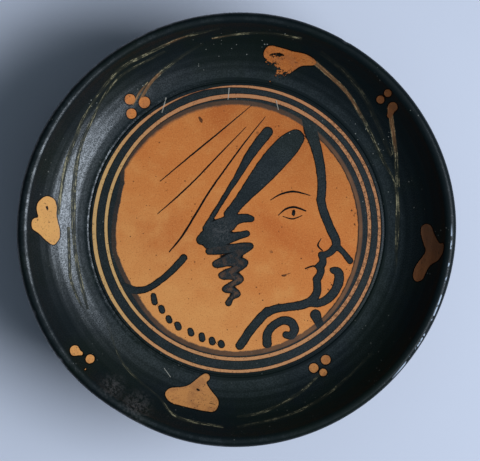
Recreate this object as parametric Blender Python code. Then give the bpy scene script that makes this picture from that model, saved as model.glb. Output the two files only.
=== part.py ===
"""A stemmed plate of fired clay, thrown on the wheel in one piece with its foot.

Metres, +Z up. The origin is at the centre of the ring that the plate stands on, and the plate's
axis is Z. The shape is one closed profile, turned about the axis: the flat round floor, a fine
groove, the rising wall, the rounded lip, the underside, the stem and the spreading hollow foot.
"""

import math

import bmesh
import bpy
from mathutils import Matrix, Vector

# Dish
RIM_RADIUS = 0.075
HEIGHT = 0.052
DISH_DEPTH = 0.0115
FLOOR_RADIUS = 0.0512
WALL_THICKNESS = 0.0038
WALL_START_SLOPE = math.radians(6)
WALL_END_SLOPE = math.radians(48)

# Groove that the potter turned round the floor
GROOVE_WIDTH = 0.0012
GROOVE_DEPTH = 0.00025

# Lip
LIP_WIDTH = 0.0033
LIP_INNER_ROUND = 0.0016
LIP_OUTER_ROUND = 0.0019

# Stem
STEM_RADIUS = 0.0155
STEM_WAIST_HEIGHT = 0.0185

# Foot
FOOT_RADIUS = 0.0345
FOOT_EDGE_HEIGHT = 0.0068
FOOT_TOP_SLOPE = math.radians(12)
FOOT_TOP_ROUND = 0.0016
FOOT_BOTTOM_ROUND = 0.0010
STANDING_RING_WIDTH = 0.0065
HOLLOW_DEPTH = 0.0115
HOLLOW_SIDE_SLOPE = math.radians(58)

# Facets
TURNS = 64
WALL_STEPS = 11
UNDERSIDE_STEPS = 9
FLARE_STEPS = 7
HOLLOW_STEPS = 6
ROUND_STEPS = 4

GLOSS_COLOUR = (0.012, 0.016, 0.018, 1.0)
GLOSS_ROUGHNESS = 0.32

WELD_DISTANCE = 1e-6


def heading(angle):
    """Unit direction in the profile's plane, from the radius axis towards +Z."""
    return Vector((math.cos(angle), math.sin(angle)))


def arc(centre, radius, start, end, steps):
    """Points (radius, height) on a round, its two ends included."""
    turn = (end - start) / steps
    return [centre + radius * heading(start + i * turn) for i in range(steps + 1)]


def smooth_curve(start, start_angle, end, end_angle, steps, start_pull=1.0, end_pull=1.0):
    """Points on one smooth curve that leaves start and reaches end in the headings given.

    The pulls are shares of the distance between the two ends, as on a curve's handles."""
    reach = (end - start).length
    leave = heading(start_angle) * reach * start_pull
    arrive = heading(end_angle) * reach * end_pull
    points = []
    for i in range(steps + 1):
        t = i / steps
        points.append(
            (2 * t**3 - 3 * t**2 + 1) * start
            + (t**3 - 2 * t**2 + t) * leave
            + (3 * t**2 - 2 * t**3) * end
            + (t**3 - t**2) * arrive
        )
    return points


def moved_outward(points, distance):
    """The same line, moved to the right of its own heading: the wall's other side."""
    moved = []
    for i, point in enumerate(points):
        before = points[max(i - 1, 0)]
        after = points[min(i + 1, len(points) - 1)]
        along = (after - before).normalized()
        moved.append(point + distance * Vector((along.y, -along.x)))
    return moved


def floor_and_groove():
    """The flat floor from the axis out, and the turned groove at its edge."""
    level = HEIGHT - DISH_DEPTH
    bottom = level - GROOVE_DEPTH
    return [
        Vector((0.0, level)),
        Vector((FLOOR_RADIUS, level)),
        Vector((FLOOR_RADIUS + 0.35 * GROOVE_WIDTH, bottom)),
        Vector((FLOOR_RADIUS + 0.65 * GROOVE_WIDTH, bottom)),
    ]


def lip():
    """The rounded lip, from the inner wall over the crest to the rim's widest point."""
    inner_centre = Vector(
        (
            RIM_RADIUS - LIP_WIDTH + LIP_INNER_ROUND * math.sin(WALL_END_SLOPE),
            HEIGHT - LIP_INNER_ROUND,
        )
    )
    outer_centre = Vector((RIM_RADIUS - LIP_OUTER_ROUND, HEIGHT - LIP_OUTER_ROUND))
    upright = math.pi / 2
    inner = arc(inner_centre, LIP_INNER_ROUND, upright + WALL_END_SLOPE, upright, ROUND_STEPS)
    outer = arc(outer_centre, LIP_OUTER_ROUND, upright, 0.0, ROUND_STEPS + 1)
    return inner + outer


def inner_wall(lip_start):
    """The dish's wall, from the groove's outer edge up to the lip."""
    start = Vector((FLOOR_RADIUS + GROOVE_WIDTH, HEIGHT - DISH_DEPTH))
    return smooth_curve(start, WALL_START_SLOPE, lip_start, WALL_END_SLOPE, WALL_STEPS)


def underside(wall_foot):
    """From the wall's foot inwards under the floor, and down into the stem."""
    waist = Vector((STEM_RADIUS, STEM_WAIST_HEIGHT))
    inwards = math.pi + WALL_START_SLOPE
    downwards = 1.5 * math.pi
    return smooth_curve(wall_foot, inwards, waist, downwards, UNDERSIDE_STEPS, 1.35, 0.75)


def foot():
    """From the stem's waist over the spreading foot, round its edge and under it to the axis."""
    waist = Vector((STEM_RADIUS, STEM_WAIST_HEIGHT))
    top_centre = Vector((FOOT_RADIUS - FOOT_TOP_ROUND, FOOT_EDGE_HEIGHT - FOOT_TOP_ROUND))
    edge_start = math.pi / 2 - FOOT_TOP_SLOPE
    edge = arc(top_centre, FOOT_TOP_ROUND, edge_start, 0.0, ROUND_STEPS)
    flare = smooth_curve(
        waist, -math.pi / 2, edge[0], -FOOT_TOP_SLOPE, FLARE_STEPS, 0.9, 1.2
    )
    bottom_centre = Vector((FOOT_RADIUS - FOOT_BOTTOM_ROUND, FOOT_BOTTOM_ROUND))
    bottom = arc(bottom_centre, FOOT_BOTTOM_ROUND, 0.0, -math.pi / 2, ROUND_STEPS - 1)
    ring_inside = Vector((FOOT_RADIUS - FOOT_BOTTOM_ROUND - STANDING_RING_WIDTH, 0.0))
    apex = Vector((0.0, HOLLOW_DEPTH))
    hollow = smooth_curve(
        ring_inside, math.pi - HOLLOW_SIDE_SLOPE, apex, math.pi, HOLLOW_STEPS, 0.7, 1.2
    )
    return flare[1:] + edge[1:] + bottom + hollow


def plate_profile():
    """The plate's whole outline from the middle of its floor, over the lip, to the hollow's top."""
    rim = lip()
    wall = inner_wall(rim[0])
    outer_wall = moved_outward(wall, WALL_THICKNESS)[::-1]
    below = underside(outer_wall[-1])
    return floor_and_groove() + wall + rim[1:] + outer_wall + below[1:] + foot()


def gloss_material():
    material = bpy.data.materials.new("black_gloss")
    material.use_nodes = True
    shader = material.node_tree.nodes["Principled BSDF"]
    shader.inputs["Base Color"].default_value = GLOSS_COLOUR
    shader.inputs["Roughness"].default_value = GLOSS_ROUGHNESS
    shader.inputs["Metallic"].default_value = 0.0
    material.diffuse_color = GLOSS_COLOUR
    return material


def turned_object(name, profile, material):
    """A solid of revolution about Z, from (radius, height) points that begin and end on the axis."""
    mesh = bpy.data.meshes.new(name)
    shape = bmesh.new()
    corners = [shape.verts.new((point.x, 0.0, point.y)) for point in profile]
    edges = [shape.edges.new(pair) for pair in zip(corners, corners[1:])]
    bmesh.ops.spin(
        shape,
        geom=corners + edges,
        cent=(0.0, 0.0, 0.0),
        axis=(0.0, 0.0, 1.0),
        angle=2 * math.pi,
        steps=TURNS,
        use_merge=True,
    )
    bmesh.ops.remove_doubles(shape, verts=shape.verts, dist=WELD_DISTANCE)
    bmesh.ops.recalc_face_normals(shape, faces=shape.faces)
    shape.to_mesh(mesh)
    shape.free()
    mesh.shade_smooth()
    mesh.set_sharp_from_angle(angle=math.radians(35))
    mesh.materials.append(material)
    turned = bpy.data.objects.new(name, mesh)
    turned.matrix_world = Matrix.Identity(4)
    bpy.context.scene.collection.objects.link(turned)
    return turned


def build():
    for old in list(bpy.data.objects):
        bpy.data.objects.remove(old)
    turned_object("plate", plate_profile(), gloss_material())


build()
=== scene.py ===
"""Painted plate on a stem: finish, painting, light and camera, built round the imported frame.

Metres, +Z up. The plate's axis is Z, +Y is the top of the painted head and +X the side it faces.
"""

import math

import bmesh
import bpy
import numpy as np
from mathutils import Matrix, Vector


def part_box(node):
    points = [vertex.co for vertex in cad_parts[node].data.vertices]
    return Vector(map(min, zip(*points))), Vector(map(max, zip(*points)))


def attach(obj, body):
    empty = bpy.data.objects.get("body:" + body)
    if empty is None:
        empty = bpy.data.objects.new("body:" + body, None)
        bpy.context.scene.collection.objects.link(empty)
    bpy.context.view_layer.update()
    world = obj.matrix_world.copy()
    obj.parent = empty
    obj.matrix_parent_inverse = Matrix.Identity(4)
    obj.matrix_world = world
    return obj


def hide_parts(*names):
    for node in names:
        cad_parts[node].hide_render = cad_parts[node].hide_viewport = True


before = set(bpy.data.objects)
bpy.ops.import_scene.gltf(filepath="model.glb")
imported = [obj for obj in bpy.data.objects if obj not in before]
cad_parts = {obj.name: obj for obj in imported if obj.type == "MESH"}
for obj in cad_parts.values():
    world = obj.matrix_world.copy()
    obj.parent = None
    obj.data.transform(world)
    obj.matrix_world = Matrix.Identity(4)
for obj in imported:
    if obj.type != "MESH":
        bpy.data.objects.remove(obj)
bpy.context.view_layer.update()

bl_info = {
    "name": "Stemmed Painted Plate",
    "version": (1, 0, 0),
    "blender": (4, 5, 0),
    "location": "View3D > Sidebar > Plate",
    "description": "Turns a stemmed clay plate and paints it in black slip, with its stage",
    "category": "Object",
}

MM = 0.001

CAD_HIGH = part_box("plate")[1]
RIM_RADIUS = round(CAD_HIGH.x, 5)
HEIGHT = round(CAD_HIGH.z, 5)

# Turned shape, as in the frame
DISH_DEPTH = 11.5 * MM
FLOOR_RADIUS = 51.2 * MM
WALL_THICKNESS = 3.8 * MM
WALL_START_SLOPE = math.radians(6)
WALL_END_SLOPE = math.radians(48)
GROOVE_WIDTH = 1.2 * MM
GROOVE_DEPTH = 0.25 * MM
GROOVE_INSET = 0.9 * MM
GROOVE_SHOULDER = 0.6
LIP_WIDTH = 4.0 * MM
LIP_INNER_ROUND = 2.6 * MM
LIP_OUTER_ROUND = 1.9 * MM
STEM_RADIUS = 15.5 * MM
STEM_WAIST_HEIGHT = 18.5 * MM
FOOT_RADIUS = 34.5 * MM
FOOT_EDGE_HEIGHT = 6.8 * MM
FOOT_TOP_SLOPE = math.radians(12)
FOOT_TOP_ROUND = 1.6 * MM
FOOT_BOTTOM_ROUND = 1.0 * MM
STANDING_RING_WIDTH = 6.5 * MM
HOLLOW_DEPTH = 11.5 * MM
HOLLOW_SIDE_SLOPE = math.radians(58)
FLOOR_LEVEL = HEIGHT - DISH_DEPTH
WALL_BEND = 2.2

# How strongly each curve holds its heading where it starts and where it ends
UNDERSIDE_PULLS = (1.35, 0.75)
FLARE_PULLS = (0.9, 1.2)
HOLLOW_PULLS = (0.7, 1.2)

# How finely the piece is turned
TURNS = 524
GRID_RADIUS = 44.0 * MM
FLOOR_STEP = 0.36 * MM
GROOVE_STEPS = 8
WALL_STEPS = 52
LIP_STEPS = 6
LIP_OUTER_STEPS = 8
OUTER_WALL_STEPS = 14
UNDERSIDE_STEPS = 13
FLARE_STEPS = 10
FOOT_TOP_STEPS = 4
FOOT_BOTTOM_STEPS = 3
HOLLOW_STEPS = 7
MERGE_DISTANCE = 0.001 * MM
MOST_TRIANGLES = 200000

# The hand in the turning
WAVE_HEIGHT = 0.16 * MM
RIPPLE_HEIGHT = 0.030 * MM
RIPPLE_SPACING = 3.1 * MM
FINE_RIPPLE_SPACING = 0.37 * RIPPLE_SPACING
RIM_BAND = 3 * MM
CHIP_DEPTH = 0.45 * MM

# How far the rim falls short of a true circle: angle in degrees, millimetres
RIM_INSET = (
    (0, 0.07), (10, 0.0), (20, 0.12), (30, 0.33), (45, 0.50), (60, 0.72), (75, 0.55), (90, 0.95), (105, 1.15),
    (120, 1.22), (140, 1.0), (160, 0.45), (180, 0.0), (205, 0.05), (220, 0.0), (230, 0.6), (240, 1.25),
    (250, 0.75), (265, 0.75), (280, 0.95), (300, 1.15), (318, 1.1), (330, 0.95), (345, 0.5),
)
RIM_EASING = math.radians(4)

# The painting is laid on a little smaller than it is drawn below
PAINTING_SHARE = 0.9902

# Distance in millimetres beyond which nothing is painted, and the least length divided by
FAR = 10.0
TINY = 1e-9

# Painted head, in millimetres from the axis. Brush strokes are (x, y, half width).
BROW_STROKE = (
    (25.2, 38.6, 2.6), (25.8, 34.0, 2.3), (27.6, 28.6, 1.9), (29.1, 21.8, 1.7), (29.7, 15.0, 1.6),
    (29.3, 10.2, 1.6),
)
NOSE_STROKE = ((29.3, 10.2, 1.6), (30.2, 6.4, 1.6), (32.3, 1.0, 1.6), (34.4, -3.4, 1.6), (34.8, -5.8, 1.5))
UNDER_NOSE_STROKE = ((34.6, -5.9, 1.4), (32.4, -8.2, 1.3), (29.8, -9.2, 1.3))
LIPS_STROKE = (
    (29.6, -8.9, 1.3), (30.1, -10.7, 1.35), (29.8, -12.1, 1.4), (28.9, -12.9, 1.4), (29.4, -14.5, 1.35),
    (28.7, -16.3, 1.4), (27.8, -17.5, 1.4),
)
CHIN_STROKE = (
    (27.8, -17.5, 1.4), (28.1, -19.5, 1.45), (27.9, -22.2, 1.5), (26.0, -24.9, 1.6), (22.6, -26.4, 1.6),
    (18.0, -27.1, 1.5), (13.4, -27.8, 1.5), (10.4, -29.2, 1.6),
)
LIP_PARTING = ((27.9, -12.9, 0.6), (26.4, -12.9, 0.34), (24.8, -13.4, 0.28), (24.0, -13.8, 0.36))
NECK_STROKE = ((10.8, -28.6, 1.6), (7.8, -31.6, 1.65), (4.4, -35.8, 1.6), (1.2, -40.6, 1.6))
FRONT_CAP_STROKE = (
    (20.4, 31.6, 3.2), (17.1, 28.3, 4.2), (12.2, 22.9, 4.15), (7.7, 17.5, 3.5), (4.0, 13.1, 2.7),
    (0.3, 8.6, 2.1), (-2.4, 5.1, 2.1),
)
BACK_CAP_STROKE = (
    (10.8, 33.8, 1.9), (7.5, 29.7, 1.85), (3.8, 24.4, 1.6), (0.7, 19.0, 1.25), (-2.6, 13.8, 1.0),
    (-6.8, 7.0, 0.9), (-11.0, 0.3, 1.0),
)
HAIR_KNOT = ((-12.2, -3.6, 1.9), (-10.1, -2.5, 2.7), (-7.0, -0.1, 3.2), (-3.5, 1.6, 3.0), (-1.0, 3.0, 2.1))
HAIR_KNOT_LOW = ((-9.7, -5.0, 2.1), (-5.2, -3.4, 2.9))
UPPER_LOCK = ((-4.2, 1.0, 2.1), (0.0, 3.2, 1.7), (2.8, 3.9, 1.6), (5.2, 3.6, 1.2))
MIDDLE_LOCK = ((-4.9, -3.9, 2.2), (0.0, -2.4, 1.5), (3.6, -1.5, 1.2))
CURL_STROKE = (
    (-9.6, -7.7, 1.3), (-6.6, -7.2, 1.7), (-1.8, -6.7, 1.7), (4.9, -5.8, 1.15), (-0.7, -9.2, 1.5),
    (-7.2, -12.1, 1.4), (-2.1, -11.3, 1.6), (2.7, -11.6, 1.45), (-0.7, -14.1, 1.5), (-5.1, -16.1, 1.35),
    (-1.7, -16.2, 1.5), (1.3, -17.4, 1.35), (-1.4, -19.1, 1.15), (-4.0, -20.9, 1.15), (-1.7, -21.2, 1.25),
    (0.4, -22.5, 1.15), (-1.7, -23.8, 1.0), (-2.8, -25.7, 1.25),
)
COLLAR_STROKE = (
    (-40.8, -19.6, 1.7), (-36.5, -21.0, 1.45), (-33.8, -21.3, 1.3), (-30.3, -20.3, 1.2), (-25.4, -17.0, 1.2),
    (-21.4, -13.3, 1.3), (-18.4, -10.0, 1.35),
)
UPPER_SCROLL = (
    (25.0, -25.6, 1.4), (28.4, -25.8, 1.45), (31.8, -24.2, 1.6), (34.4, -21.2, 1.65), (35.7, -17.6, 1.75),
    (35.3, -14.9, 1.65), (33.5, -14.3, 1.2),
)
SIDE_STROKE = ((34.6, -5.4, 1.2), (37.4, -8.3, 1.05), (39.5, -11.0, 1.2))
LOWER_SCROLL = (
    (10.7, -39.9, 1.65), (10.8, -36.3, 1.6), (12.9, -33.5, 1.5), (16.2, -31.8, 1.5), (19.1, -32.5, 1.6),
    (20.2, -34.9, 1.6), (19.1, -37.0, 1.5), (17.2, -36.8, 1.3),
)
BORDER_BLOB = ((27.5, -29.8, 1.95), (28.5, -32.2, 1.5), (29.8, -34.4, 1.6))
NECKLACE = (
    ((-28.9, -23.1, 1.05), (-28.6, -25.4, 1.15)), ((-26.2, -27.4, 1.15), (-25.9, -28.4, 1.15)),
    ((-23.7, -31.0, 1.1), (-23.4, -31.8, 1.15)), ((-20.6, -33.2, 1.15), (-20.2, -34.2, 1.25)),
    ((-16.1, -35.3, 1.1), (-15.8, -36.3, 1.2)), ((-12.1, -37.0, 1.15), (-11.9, -38.2, 1.2)),
    ((-8.6, -38.5, 1.15), (-8.4, -39.4, 1.2)), ((-5.4, -39.7, 1.2), (-5.2, -40.3, 1.25)),
)
EYE_PUPIL = ((19.9, 6.3, 0.62), (19.8, 5.1, 0.66))
HEAD_STROKES = (
    BROW_STROKE, NOSE_STROKE, UNDER_NOSE_STROKE, LIPS_STROKE, CHIN_STROKE, LIP_PARTING, NECK_STROKE,
    FRONT_CAP_STROKE, BACK_CAP_STROKE, HAIR_KNOT, HAIR_KNOT_LOW, UPPER_LOCK, MIDDLE_LOCK, COLLAR_STROKE,
    UPPER_SCROLL, SIDE_STROKE, LOWER_SCROLL, BORDER_BLOB, EYE_PUPIL, *NECKLACE,
)

# Fine relief lines of the head: (x, y, half width)
CLOTH_LINES = (
    ((-26.2, 17.0, 0.16), (-16.0, 25.5, 0.28), (-5.6, 34.0, 0.26), (4.9, 42.8, 0.12)),
    ((-27.2, 5.6, 0.14), (-20.5, 11.4, 0.27), (-13.6, 18.0, 0.27), (-5.6, 26.4, 0.25), (3.0, 35.2, 0.12)),
    (
        (-23.2, -7.6, 0.22), (-18.8, -2.2, 0.36), (-13.9, 5.8, 0.36), (-9.2, 13.5, 0.34),
        (-2.8, 22.5, 0.30), (3.1, 30.5, 0.26), (9.8, 38.8, 0.12),
    ),
)
BROW_LINE = ((12.2, 10.4, 0.16), (15.6, 12.3, 0.32), (20.0, 13.1, 0.36), (25.2, 11.9, 0.16))
UPPER_LID = ((14.9, 5.2, 0.16), (17.2, 7.1, 0.36), (20.2, 7.7, 0.40), (23.8, 6.5, 0.26))
LOWER_LID = ((16.6, 4.3, 0.14), (19.6, 3.6, 0.27), (22.4, 4.6, 0.16))
NOSTRIL = ((29.2, -3.6, 0.14), (28.3, -5.6, 0.32), (29.6, -7.2, 0.24))
LINES_ONE = (*CLOTH_LINES, BROW_LINE, LOWER_LID)
LINES_TWO = (UPPER_LID, NOSTRIL)

# Two reserved rings round the head: angle in degrees, half width in millimetres
OUTER_RING_RADIUS = 49.62
OUTER_RING_CENTRE = (0.10, 0.05)
OUTER_RING_WIDTHS = (
    (0, 0.46), (45, 0.52), (80, 0.45), (92, 0.30), (104, 0.10), (116, 0.22), (130, 0.50), (160, 0.64),
    (190, 0.66), (225, 0.54), (270, 0.48), (315, 0.52),
)
INNER_RING_RADIUS = 45.85
INNER_RING_CENTRE = (0.42, 0.55)
INNER_RING_WIDTHS = ((0, 0.56), (60, 0.62), (100, 0.66), (150, 0.55), (190, 0.50), (240, 0.52), (300, 0.60))

# Edge of the reserved round: angle, radius in millimetres, softness and thinness of the slip there
FIELD_EDGE = (
    (0, 42.2, 0.25, 0.90), (25, 42.3, 0.25, 0.80), (45, 42.4, 0.30, 0.55), (70, 42.9, 0.45, 0.40),
    (92, 43.3, 0.70, 0.40), (120, 43.5, 1.10, 0.35), (140, 43.7, 1.00, 0.30), (152, 43.9, 0.60, 0.20),
    (158, 42.0, 0.30, 0.10), (166, 41.4, 0.25, 0.10), (176, 41.7, 0.30, 0.15), (190, 42.3, 0.35, 0.20),
    (205, 41.3, 0.35, 0.30), (216, 41.3, 0.40, 0.40), (235, 42.4, 0.50, 0.50), (262, 42.6, 0.35, 0.55),
    (285, 42.6, 0.30, 0.70), (320, 42.8, 0.30, 0.90), (345, 42.3, 0.25, 0.90),
)

# Ivy leaves: outlines in millimetres
TOP_LEAF = (
    (9.5, 61.4), (11.4, 63.7), (15.7, 62.9), (19.7, 61.7), (23.2, 61.0), (25.9, 59.8), (27.6, 58.0),
    (26.5, 57.0), (22.6, 56.8), (19.1, 54.6), (16.6, 53.2), (14.4, 52.3), (13.4, 53.4), (13.7, 55.0),
    (12.6, 56.7), (10.2, 58.0),
)
BOTTOM_LEAF = (
    (-24.7, -56.9), (-22.9, -55.3), (-18.4, -55.0), (-15.6, -53.7), (-13.4, -51.9), (-11.1, -50.4),
    (-9.6, -50.9), (-9.5, -52.3), (-10.5, -53.4), (-9.6, -55.2), (-8.0, -57.4), (-6.4, -59.6),
    (-6.7, -62.0), (-8.4, -63.4), (-13.8, -62.6), (-18.6, -61.4), (-22.4, -60.4), (-24.4, -58.6),
)
LEFT_LEAF = (
    (-68.9, 7.2), (-68.4, 9.7), (-65.8, 11.6), (-63.2, 10.4), (-62.3, 7.6), (-62.4, 4.6), (-61.5, 0.4),
    (-61.4, -2.6), (-62.7, -4.8), (-64.0, -5.1), (-65.9, -3.6), (-68.2, -1.2), (-70.3, 0.6), (-70.5, 3.0),
    (-69.6, 4.1), (-68.4, 4.4),
)
RIGHT_LEAF = (
    (64.0, -1.0), (64.3, 1.0), (65.7, 1.9), (67.3, 1.2), (68.0, -0.8), (69.1, -3.2), (70.1, -4.7),
    (71.3, -4.6), (71.1, -7.4), (69.7, -10.2), (67.0, -12.2), (65.5, -14.8), (64.4, -17.2), (62.4, -17.9),
    (61.4, -16.4), (62.0, -13.2), (63.8, -10.4), (65.6, -7.6), (64.8, -4.4),
)
LEAVES = (TOP_LEAF, BOTTOM_LEAF, LEFT_LEAF, RIGHT_LEAF)
LEAF_FLAWS = (
    ((12.0, 60.5, 0.30), (14.6, 61.0, 0.42), (16.6, 60.3, 0.15)), ((-13.8, -55.8, 0.4), (-12.8, -56.2, 0.25)),
    ((-65.7, 8.1, 0.35), (-65.4, 7.3, 0.4)), ((-9.9, -60.4, 0.1), (-7.4, -61.1, 0.2)),
)
LEAF_WEAR = ((13.8, 55.2, 6.6),)
BERRIES = (
    (-37.0, 45.2, 1.85), (-32.0, 44.1, 1.95), (-36.5, 40.2, 1.75), (52.2, 47.3, 1.25), (49.8, 45.1, 1.35),
    (54.0, 42.5, 1.6), (26.9, -48.4, 1.6), (31.1, -45.5, 1.65), (30.2, -49.9, 1.3), (-55.9, -41.5, 1.55),
    (-50.7, -44.7, 1.5),
)
BERRY_TAILS = (((-55.9, -41.9, 1.5), (-53.6, -42.8, 0.5)), ((54.0, 42.5, 1.4), (52.9, 39.4, 0.7)))
SMALL_FLAKES = ((11.8, 51.2, 0.35), (12.8, 51.6, 0.28), (-52.2, -48.1, 0.25))

# Painted light and shade on leaves, berries and rings, by angle in degrees: above 0 a painted highlight,
# paler at the left, and below 0 painted shade on leaves and berries, darkest at the right, away from the key
# light; the rings' pits also follow the values below 0
PAINTED_IVY_LIGHT = (
    (0, -0.86), (20, -0.80), (42, -0.66), (62, -0.10), (90, -0.10), (130, 0.15), (165, 0.62), (190, 0.62),
    (218, 0.35), (240, -0.20), (262, -0.30), (302, -0.25), (325, -0.6),
)

# Ivy stems in worn added colour: (x, y, half width, strength)
STEMS_ONE = (
    (
        (27.2, 57.9, 0.75, 1.0), (32.9, 52.9, 0.75, 0.95), (38.4, 47.3, 0.70, 0.85), (43.1, 39.8, 0.65, 0.68),
        (47.3, 31.9, 0.60, 0.55), (51.1, 23.6, 0.50, 0.5), (54.9, 16.6, 0.45, 0.5), (56.0, 7.9, 0.75, 0.6),
        (55.7, -3.9, 0.60, 0.45), (55.4, -13.9, 0.35, 0.1),
    ),
    ((-35.4, 44.4, 0.40, 0.8), (-33.6, 47.6, 0.45, 0.9), (-31.6, 50.1, 0.35, 0.7)),
    (
        (-7.2, 69.6, 0.3, 0.2), (-18.6, 66.9, 0.45, 0.7), (-28.9, 62.2, 0.5, 0.6), (-39.9, 56.3, 0.6, 0.6),
        (-47.1, 48.1, 0.5, 0.5), (-52.9, 39.1, 0.5, 0.5), (-55.7, 32.2, 0.6, 0.6), (-59.1, 22.9, 0.6, 0.6),
        (-61.0, 12.1, 0.6, 0.6), (-61.7, 6.6, 0.5, 0.5),
    ),
    ((-7.2, 66.6, 0.35, 0.7), (1.4, 68.0, 0.4, 0.6), (11.4, 68.1, 0.3, 0.4), (21.3, 66.4, 0.45, 0.6)),
    (
        (-58.4, -0.4, 0.5, 0.6), (-58.0, -11.9, 0.55, 0.6), (-57.5, -17.7, 0.5, 0.5),
        (-54.6, -25.0, 0.4, 0.4), (-51.6, -29.6, 0.3, 0.1),
    ),
    (
        (-45.2, -32.1, 0.35, 0.15), (-40.3, -45.5, 0.40, 0.32), (-33.6, -53.0, 0.40, 0.25),
        (-27.3, -58.1, 0.35, 0.22), (-20.5, -65.2, 0.45, 0.6), (-5.9, -68.4, 0.4, 0.3),
    ),
    ((1.4, -65.0, 0.4, 0.2), (10.0, -63.3, 0.5, 0.40), (21.5, -57.3, 0.5, 0.40), (28.5, -51.1, 0.4, 0.3)),
)
STEMS_TWO = (
    ((53.1, 41.2, 0.8, 1.0), (54.0, 35.3, 0.75, 0.9), (55.2, 26.7, 0.70, 0.66), (55.9, 16.0, 0.70, 0.55)),
    (
        (30.0, 60.8, 0.7, 0.1), (37.3, 54.8, 0.8, 0.25), (44.0, 46.4, 0.8, 0.25), (48.2, 38.1, 0.8, 0.2),
        (53.1, 26.7, 0.6, 0.2),
    ),
    ((-32.7, 46.3, 0.55, 1.0), (-29.2, 51.7, 0.6, 0.9), (-21.8, 58.2, 0.6, 0.35), (-12.8, 64.0, 0.5, 0.1)),
    (
        (-26.0, 61.4, 0.35, 0.3), (-38.6, 54.6, 0.45, 0.4), (-44.8, 48.2, 0.45, 0.45),
        (-50.3, 37.8, 0.5, 0.5), (-54.3, 28.1, 0.65, 0.6), (-56.3, 16.6, 0.8, 0.6), (-56.7, 4.8, 0.8, 0.6),
        (-56.4, -4.8, 0.6, 0.6), (-55.3, -12.5, 0.65, 0.6), (-53.9, -19.2, 0.6, 0.5),
        (-52.1, -26.5, 0.5, 0.4),
    ),
    ((1.4, -68.4, 0.4, 0.2), (18.6, -64.4, 0.5, 0.35), (32.8, -56.6, 0.5, 0.35), (46.4, -43.9, 0.4, 0.15)),
)
SCRATCHES = (
    ((-24.6, 45.2, 0.16), (-25.2, 43.0, 0.16), (-25.8, 41.0, 0.12)),
    ((-2.6, 48.6, 0.16), (-2.9, 45.6, 0.14)),
    ((13.9, 44.2, 0.16), (14.4, 42.0, 0.12)),
    ((-24.9, -48.9, 0.10), (-23.3, -51.1, 0.10)),
)

# Dark nicks in the clay of the round, and patches of painted sheen: a painted reflection on the black by the
# lower-left lip and a painted highlight on the hair knot. All (x, y, reach)
CLAY_NICKS = (
    ((-12.9, 38.9, 0.30), (-12.3, 37.9, 0.55), (-12.2, 37.0, 0.30)),
    ((-25.6, 13.6, 0.12), (-24.6, 13.2, 0.22), (-23.9, 14.2, 0.12)),
    ((41.2, 5.6, 0.3), (40.8, 4.4, 0.2)), ((39.9, 6.3, 0.2), (40.3, 7.0, 0.2)),
    ((40.9, 2.2, 0.2), (41.2, 1.3, 0.25)),
    ((31.8, -20.9, 0.3), (32.4, -21.3, 0.2)), ((33.0, -19.2, 0.35), (33.1, -19.5, 0.3)),
    ((15.8, -16.1, 0.3), (18.6, -15.2, 0.2)), ((16.6, -17.0, 0.2), (17.4, -16.8, 0.25)),
)
PAINTED_SHEEN_PATCHES = ((-43.2, -54.6, 5.5), (-35.1, -61.6, 7.0), (-5.5, -0.5, 6.5))

# Chips in the lip: (x, y) in millimetres and how far each reaches
LIP_CHIPS = ((37.3, 64.3, 1.3), (-41.4, 62.3, 1.1), (-69.0, -28.2, 1.0), (-60.2, -44.3, 0.9))

# What is stored on the vertices, by the name that the materials read
STROKES = {"head_edge": HEAD_STROKES, "curl_edge": (CURL_STROKE,), "clay_nicks": CLAY_NICKS}
LINES = {
    "lines_one": LINES_ONE, "lines_two": LINES_TWO, "scratches": SCRATCHES,
    "stems_one": STEMS_ONE, "stems_two": STEMS_TWO,
}

# Shades of wear, brush and fire that the settings don't offer, and of painted highlight, sheen and shade
SLIP_STREAK = (0.018, 0.021, 0.019)
SLIP_GRAIN = (0.020, 0.024, 0.022)
SLIP_PIT = (0.36, 0.35, 0.30)
# Pale grey of the painted sheen: painted reflection and painted highlight on the black
SLIP_PAINTED_SHEEN = (0.056, 0.053, 0.050)
SECOND_COAT = (0.0016, 0.0010, 0.0008)
CLAY_UPPER_RIGHT = (0.30, 0.085, 0.014)
CLAY_GRAIN = (0.34, 0.10, 0.025)
CLAY_STREAK = (0.70, 0.29, 0.075)
CLAY_SPECK = (0.06, 0.020, 0.008)
CLAY_MARK = (0.10, 0.03, 0.012)
CLAY_NICK = (0.035, 0.012, 0.006)
# Paler ivy shade: a painted highlight on leaves and rings at the left
IVY_PAINTED_HIGHLIGHT = (0.76, 0.40, 0.12)
LEAF_MOTTLE = (0.40, 0.140, 0.052)
# Dark leaf shade: painted shade on leaves and berries at the right
LEAF_PAINTED_SHADE = (0.040, 0.028, 0.021)
IVY_FLECK = (0.05, 0.022, 0.012)
RING = (0.56, 0.285, 0.140)
# Paler ring shade: a painted highlight on the rings at the left
RING_PAINTED_HIGHLIGHT = (0.68, 0.44, 0.18)
RING_GAP = (0.035, 0.016, 0.010)
STEM_GROUND = (0.040, 0.039, 0.024)
STEM_GROUND_RED = (0.24, 0.115, 0.048)
STEM_HAIR_RED = (0.40, 0.215, 0.095)
SCRATCH = (0.50, 0.45, 0.36)
# Bluish white of the painted glints along the lip at the right
LIP_PAINTED_GLINT = (0.46, 0.52, 0.60)

# Finish: the slip's shine lies in its coat, so bare clay stays dull
SLIP_GLOSS = {"Specular IOR Level": 0.12, "Coat Roughness": 0.28, "Coat IOR": 1.7}
FLOOR_GLOSS = {"Specular IOR Level": 0.25, "Roughness": 0.75}
SLIP_STREAK_SPACING = 1.6 * MM
CLAY_STREAK_SPACING = 2.4 * MM
SLIP_THICKNESS = 0.01 * MM
PIT_DEPTH = 0.03 * MM
WEAR_REACH = 1.2 * MM
LINE_SWAY = 0.22 * MM
HAIRS_ACROSS = 3200.0
HAIRS_ALONG = 160.0
LEAST_SOFTNESS = 1e-6
SOCKET_KINDS = {"Position": "Vector", "Line": "Vector", "Color": "Color"}

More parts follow.
